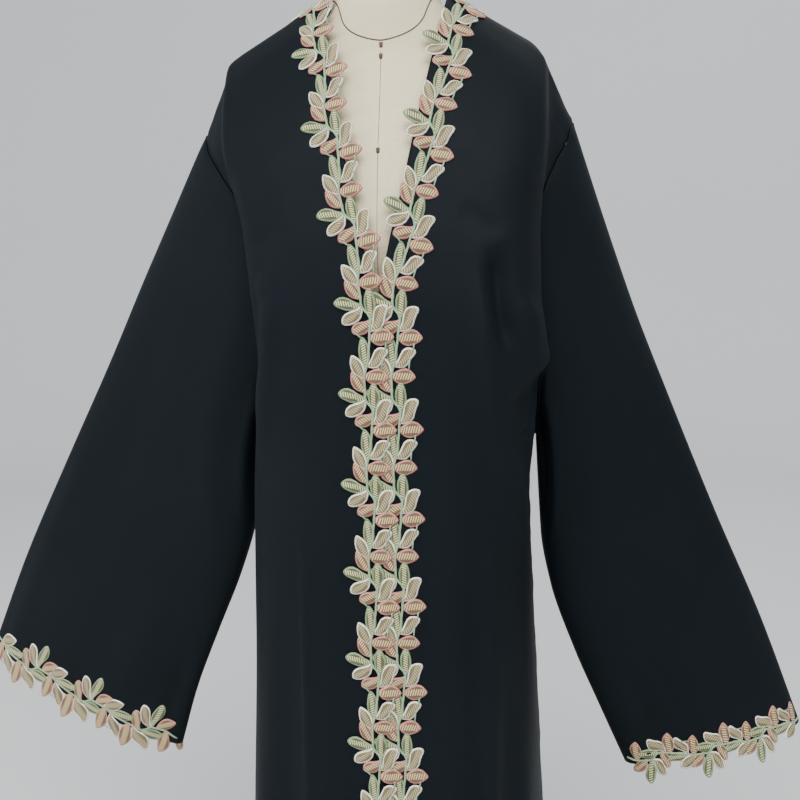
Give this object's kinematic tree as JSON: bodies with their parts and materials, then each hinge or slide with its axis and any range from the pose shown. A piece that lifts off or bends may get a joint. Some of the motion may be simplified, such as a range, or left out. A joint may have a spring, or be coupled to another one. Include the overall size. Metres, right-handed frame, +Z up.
{
  "type": "abaya cloak on a dress form",
  "caption": "Floor-length open-front cloak with wide straight sleeves and leaf lace edging, worn by a limbless dress form on a round stand.",
  "frame": {"origin": "centre of the underside of the stand's round base, on the floor", "axes": "+Z up, -Y the front of the cloak, +X the wearer's left"},
  "size_m": [1.11, 0.38, 1.5523],
  "materials": {
    "black_crepe": "matte woven crepe with a soft sheen",
    "linen": "plain cream linen cover",
    "lace_thread": "raised cord and net lace",
    "steel": "satin black enamel",
    "wood": "stained and waxed"
  },
  "bodies": {
    "root": {"back": "black_crepe", "front_left": "black_crepe", "front_right": "black_crepe", "sleeve_left": "black_crepe", "sleeve_right": "black_crepe", "trim_front_left": "lace_thread", "trim_front_right": "lace_thread", "trim_cuff_left_front": "lace_thread", "trim_cuff_left_back": "lace_thread", "trim_cuff_right_front": "lace_thread", "trim_cuff_right_back": "lace_thread", "form_torso": "linen", "form_pole": "steel", "form_base": "steel", "form_neck_cap": "wood"}
  },
  "joints": []
}
